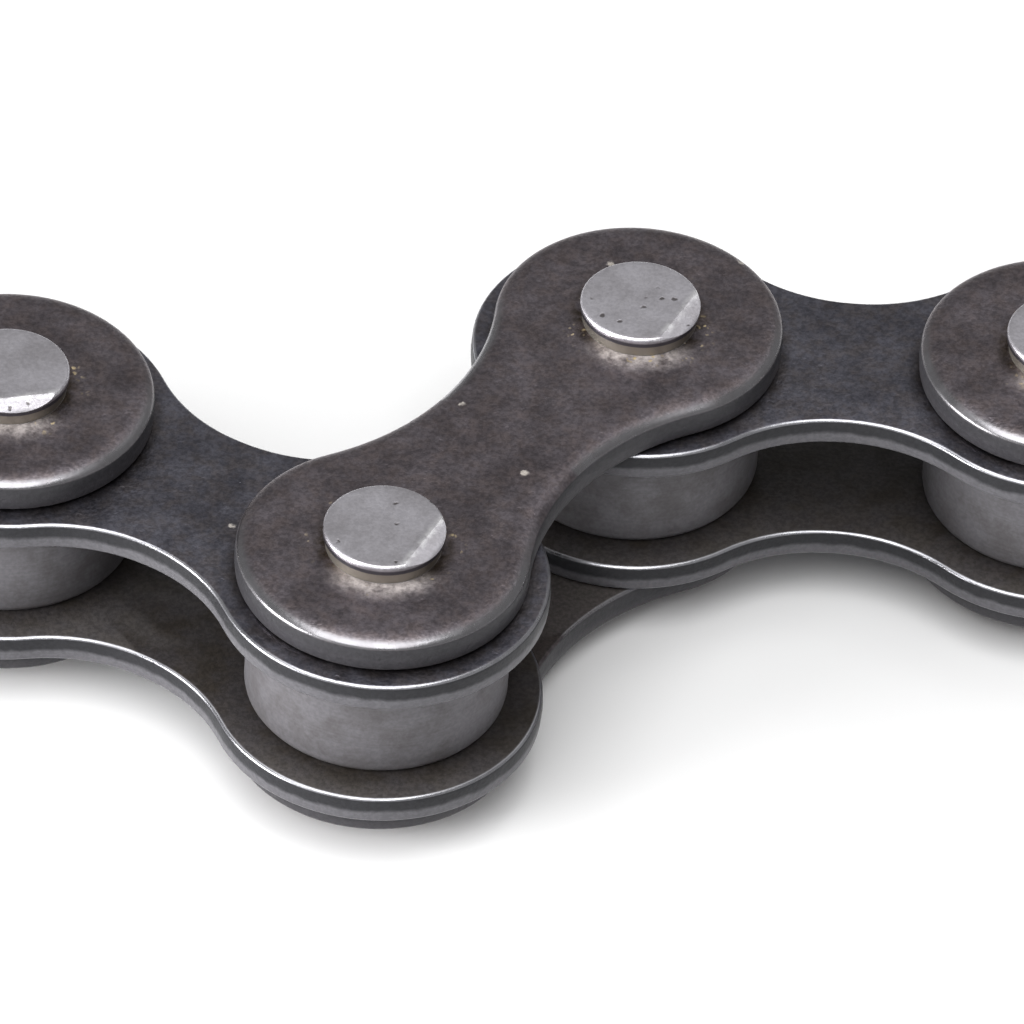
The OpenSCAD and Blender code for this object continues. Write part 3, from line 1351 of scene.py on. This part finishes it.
@dataclass
class OuterLinks(Links):
    """Outer links: two plates riveted on two pins."""

    numbers: Tuple[int, ...] = (2, 4, 6)
    waist: float = 2.55
    plate_edge_r: float = 0.15
    plate_crown_w: float = 0.7
    plate_crown_d: float = 0.28
    rivet_spread: float = 0.09
    rivet_t: float = 0.36
    rivet_rim_r: float = 0.12

    def build(self) -> None:
        """Models a plate and a pin, and fits copies of them into every outer link."""
        plate_low, plate_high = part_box("outer_plate_2_upper")
        pin_low, pin_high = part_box("pin_2_left")
        head_r = (pin_high.x - pin_low.x) / 2 / MM
        pin_r = head_r - self.rivet_spread
        plate = LinkPlate("outer_plate_model", self.layout.pitch, self.layout.end_r(2, plate_low, plate_high),
                          self.waist, pin_r, plate_low.z / MM, plate_high.z / MM, self.plate_edge_r,
                          self.plate_crown_w, self.plate_crown_d)
        pin = RivetedPin("pin_model", pin_r, pin_high.z / MM, head_r, self.rivet_t, self.rivet_rim_r)
        plate_model, pin_model = plate.build(), pin.build()
        plate.dress(plate_model, OUTER_STEEL.material())
        pin.dress(pin_model, PIN_STEEL.material())
        for number in self.numbers:
            self.fit_plates(plate, plate_model, "outer", number, Slot.OUTER_PLATE)
            for end in End:
                place = self.layout.pivot(number, end)
                node = f"pin_{number}_{end.name.lower()}"
                self.fit(pin_model, node, f"outer_link_{number}", Slot.PIN, place)
        for model in (plate_model, pin_model):
            Bench.bin(model)


@dataclass(frozen=True)
class SoftLight:
    """Square studio light, in metres from the middle of the view."""

    name: str
    place: Tuple[float, float, float]
    size: float
    power: float

    def hang(self, target: Vector) -> None:
        """Adds the light, turned to the middle of the view.

        Args:
            target: middle of the view.
        """
        data = bpy.data.lights.new(self.name, "AREA")
        data.shape = "SQUARE"
        data.size = self.size
        data.energy = self.power
        lamp = bpy.data.objects.new(self.name, data)
        bpy.context.scene.collection.objects.link(lamp)
        lamp.location = target + Vector(self.place)
        lamp.rotation_mode = "QUATERNION"
        lamp.rotation_quaternion = (-Vector(self.place)).to_track_quat("-Z", "Y")
        lamp.visible_camera = False


@dataclass
class Studio:
    """Pale floor, soft light and the camera, placed from the third pivot."""

    layout: ChainLayout
    aim_pivot: int = 3
    aim_mm: Tuple[float, float] = (3.74, 5.774)
    distance: float = 0.3179
    elevation: float = 42.75
    azimuth: float = 0.92
    roll: float = 3.92
    lens: float = 377.3
    clip_start: float = 0.01
    floor_size: float = 8.0
    floor_gap_mm: float = 0.02
    floor_colour: Colour = (0.9, 0.9, 0.9)
    floor_roughness: float = 0.9
    white_from: Tuple[float, float] = (0.1, 0.24)
    sky: Colour = (0.32, 0.32, 0.32)
    lights: Tuple[SoftLight, ...] = (
        SoftLight("front_top", (-0.05, -0.14, 0.38), 0.38, 1.65),
        SoftLight("left_fill", (-0.42, -0.16, 0.06), 0.26, 4.6),
        SoftLight("back_accent", (0.165, 0.245, 0.335), 0.1, 0.05),
        SoftLight("top_accent", (0.055, 0.09, 0.41), 0.08, 0.09),
    )

    @property
    def target(self) -> Vector:
        """Point of the chain's mid-plane at the middle of the picture."""
        return self.layout.pivots[self.aim_pivot] + Vector((*self.aim_mm, 0)) * MM

    def build(self) -> None:
        """Lays the floor, hangs the lights and sets the camera."""
        self._floor()
        for light in self.lights:
            light.hang(self.target)
        self._sky()
        bpy.context.scene.view_settings.view_transform = "Standard"
        self._camera()

    def _sky(self) -> None:
        """Lights the scene from all round, and shows white to the camera."""
        world = bpy.data.worlds.new("Studio")
        world.use_nodes = True
        sketch = Sketch(world.node_tree)
        seen = sketch.node("LightPath").outputs["Is Camera Ray"]
        sketch.feed(sketch.tree.nodes["Background"], {"Color": sketch.blend(seen, self.sky, WHITE)})
        bpy.context.scene.world = world

    def _floor(self) -> None:
        """Lays a plain pale floor under the pins."""
        Bench.clear()
        low = CAD_BOX[0].z - self.floor_gap_mm * MM
        bpy.ops.mesh.primitive_plane_add(size=self.floor_size, location=(self.target.x, self.target.y, low))
        floor = bpy.context.view_layer.objects.active
        floor.name = "floor"
        paint = bpy.data.materials.new("Floor")
        paint.use_nodes = True
        sketch = Sketch(paint.node_tree)
        shader = sketch.tree.nodes["Principled BSDF"]
        sketch.feed(shader, {"Base Color": (*self.floor_colour, 1.0), "Roughness": self.floor_roughness,
                             "Specular IOR Level": 0.0})
        self._whiten(sketch, shader)
        floor.data.materials.append(paint)

    def _whiten(self, sketch: Sketch, shader: Node) -> None:
        """Shows the floor white where it lies far from the object, to the camera and in metal.

        Args:
            sketch: sketch of the floor's paint.
            shader: the paint that shows near the object, with its shadow.
        """
        place = sketch.node("TexCoord").outputs["Object"]
        reach = sketch.node("VectorMath", {0: place}, operation="LENGTH").outputs["Value"]
        near, far = self.white_from
        away = sketch.node("MapRange", {"Value": reach, "From Min": near, "From Max": far}).outputs["Result"]
        rays = sketch.node("LightPath").outputs
        seen = rays["Is Camera Ray"]
        for kind in ("Is Glossy Ray", "Is Transmission Ray"):
            seen = sketch.math("MAXIMUM", seen, rays[kind])
        white = sketch.node("Emission").outputs[0]
        shown = sketch.node("MixShader", {0: sketch.times(away, seen), 1: shader.outputs[0], 2: white})
        sketch.feed(sketch.tree.nodes["Material Output"], {"Surface": shown.outputs[0]})

    def _camera(self) -> None:
        """Sets the camera at the photograph's angle."""
        height, turn, roll = (math.radians(value) for value in (self.elevation, self.azimuth, self.roll))
        flat = math.cos(height)
        ahead = Vector((math.sin(turn) * flat, math.cos(turn) * flat, -math.sin(height)))
        level = ahead.cross(Vector((0, 0, 1))).normalized()
        upright = level.cross(ahead)
        right = level * math.cos(roll) + upright * math.sin(roll)
        up = upright * math.cos(roll) - level * math.sin(roll)
        data = bpy.data.cameras.new("camera")
        data.lens = self.lens
        data.clip_start = self.clip_start
        camera = bpy.data.objects.new("camera", data)
        bpy.context.scene.collection.objects.link(camera)
        turned = Matrix((right, up, -ahead)).transposed().to_4x4()
        camera.matrix_world = Matrix.Translation(self.target - ahead * self.distance) @ turned
        bpy.context.scene.camera = camera


def main() -> None:
    """Builds the links and the studio round the frame."""
    logging.basicConfig(level=logging.INFO, format="%(name)s: %(message)s")
    layout = ChainLayout.from_record(frame["record"])
    for assembly in (InnerLinks(layout), OuterLinks(layout), Studio(layout)):
        assembly.build()


if __name__ == "__main__":
    main()
